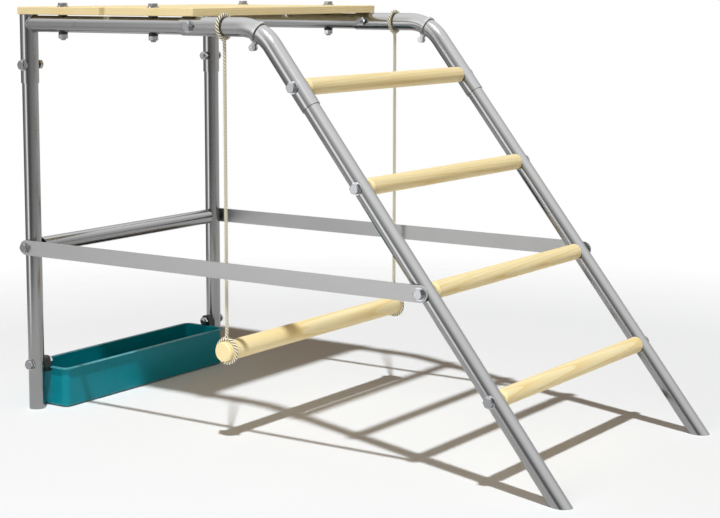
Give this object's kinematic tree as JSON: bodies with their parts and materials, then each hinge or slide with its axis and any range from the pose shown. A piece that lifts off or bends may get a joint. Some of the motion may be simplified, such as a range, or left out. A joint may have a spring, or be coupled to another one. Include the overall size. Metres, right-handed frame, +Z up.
{
  "type": "climbing frame",
  "caption": "Low tube climbing frame: sloping ladder, two-plank platform, swing bar on ropes, side braces and a trough between the posts.",
  "frame": {"origin": "on the floor, at the middle of the object's box in X and Y", "axes": "+X runs from the posts to the feet of the ladder, +Y from the front frame to the back frame, +Z up"},
  "size_m": [1.2639, 0.6328, 0.8164],
  "materials": {
    "galvanised_tube": "smooth galvanised tube, glossy with long soft streaks",
    "flat_bar_steel": "smooth galvanised flat bar",
    "clamp_steel": "pressed galvanised steel band",
    "zinc_hardware": "bright blue-white zinc plate",
    "pine": "planed, unvarnished pine with knots and end grain",
    "trough_plastic": "moulded teal plastic, soft sheen",
    "black_plastic": "moulded black plastic",
    "rope": "three-strand twisted cream rope"
  },
  "bodies": {
    "root": {"back_corner_fitting": "galvanised_tube", "back_elbow": "galvanised_tube", "back_flat_brace": "flat_bar_steel", "back_post": "galvanised_tube", "back_rope_eye": "rope", "back_stop_clamp": "clamp_steel", "back_stringer": "galvanised_tube", "back_top_rail": "galvanised_tube", "brace_bolts": "zinc_hardware", "brace_saddles": "black_plastic", "brace_washers": "zinc_hardware", "corner_bolts": "zinc_hardware", "corner_nut_saddles": "black_plastic", "corner_nuts": "zinc_hardware", "corner_washers": "zinc_hardware", "crossbar_plugs": "zinc_hardware", "crossbar_saddles": "black_plastic", "front_corner_fitting": "galvanised_tube", "front_elbow": "galvanised_tube", "front_flat_brace": "flat_bar_steel", "front_post": "galvanised_tube", "front_rope_eye": "rope", "front_stop_clamp": "clamp_steel", "front_stringer": "galvanised_tube", "front_top_rail": "galvanised_tube", "plank_bolts": "zinc_hardware", "plank_nuts": "zinc_hardware", "plank_pads": "black_plastic", "plank_saddles": "black_plastic", "plank_washers": "zinc_hardware", "platform_plank_1": "pine", "platform_plank_2": "pine", "post_crossbar": "galvanised_tube", "rail_bolts": "zinc_hardware", "rail_nut_saddles": "black_plastic", "rail_nuts": "zinc_hardware", "rail_washers": "zinc_hardware", "rung_1": "pine", "rung_2": "pine", "rung_3": "pine", "rung_4": "pine", "rung_bolts": "zinc_hardware", "rung_inserts": "zinc_hardware", "rung_washers": "zinc_hardware", "stop_clamp_screws": "zinc_hardware", "trough": "trough_plastic", "trough_bolts": "zinc_hardware", "trough_hangers": "black_plastic", "trough_nuts": "zinc_hardware", "trough_washers": "zinc_hardware"},
    "swing": {"front_rope": "rope", "back_rope": "rope"},
    "bar": {"swing_bar": "pine"}
  },
  "joints": [
    {"name": "swing_pivot", "type": "hinge", "parent": "root", "child": "swing", "pos_m": [-0.08347, 0, 0.7535], "axis": [0, 1, 0], "range_deg": [-40, 40]},
    {"name": "bar_roll", "type": "hinge", "parent": "swing", "child": "bar", "pos_m": [-0.08347, 0, 0.1765], "axis": [0, 1, 0], "continuous": true}
  ]
}
